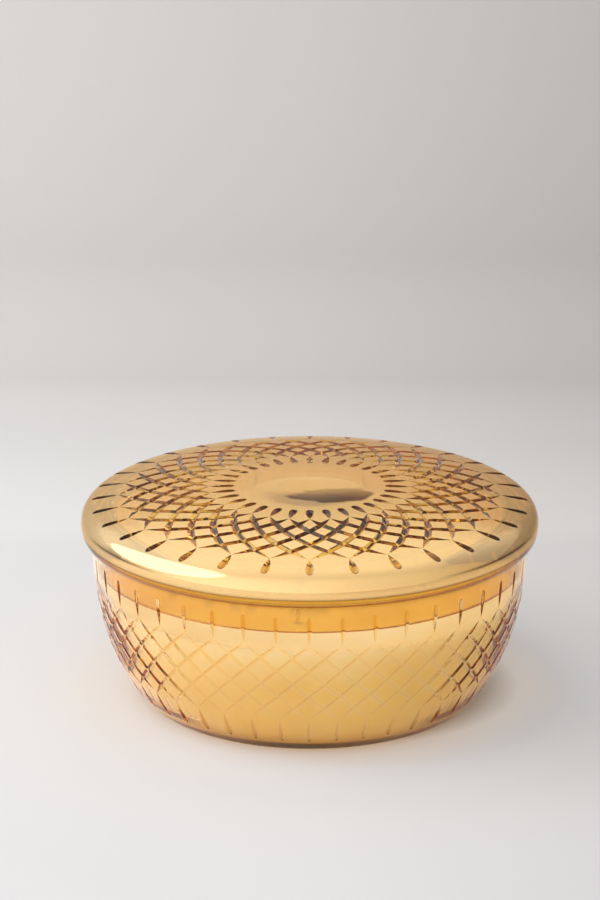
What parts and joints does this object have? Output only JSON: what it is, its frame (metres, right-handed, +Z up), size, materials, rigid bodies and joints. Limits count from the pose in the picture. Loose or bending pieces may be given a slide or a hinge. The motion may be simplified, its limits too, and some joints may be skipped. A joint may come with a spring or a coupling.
{
  "type": "lidded cut glass candle bowl",
  "caption": "Wide amber glass bowl with a lift-off lid, both cut with a diamond lattice and leaf cuts, holding a poured wax candle with cotton wicks.",
  "frame": {"origin": "middle of the base, on the surface that the bowl stands on", "axes": "+Z up through the middle of the bowl and the lid, -Y towards the front of the picture"},
  "size_m": [0.2206, 0.2206, 0.1018],
  "materials": {
    "amber_glass": "clear amber glass, polished, with wheel-cut grooves",
    "wax": "smooth cream wax, slightly translucent",
    "cotton": "braided cotton, waxed",
    "tinned_steel": "bright tinned steel, stamped",
    "pad_foam": "white double-sided foam pad"
  },
  "bodies": {
    "bowl": {"glass_bowl": "amber_glass", "wax_fill": "wax", "wick_1": "cotton", "wick_2": "cotton", "wick_3": "cotton", "wick_4": "cotton", "wick_5": "cotton", "wick_tab_1": "tinned_steel", "wick_tab_2": "tinned_steel", "wick_tab_3": "tinned_steel", "wick_tab_4": "tinned_steel", "wick_tab_5": "tinned_steel", "wick_sticker_1": "pad_foam", "wick_sticker_2": "pad_foam", "wick_sticker_3": "pad_foam", "wick_sticker_4": "pad_foam", "wick_sticker_5": "pad_foam"},
    "lid": {"glass_lid": "amber_glass"}
  },
  "joints": [
    {"name": "lid_lift", "type": "slide", "parent": "bowl", "child": "lid", "axis": [0, 0, 1], "range_m": [0, 0.12]}
  ]
}
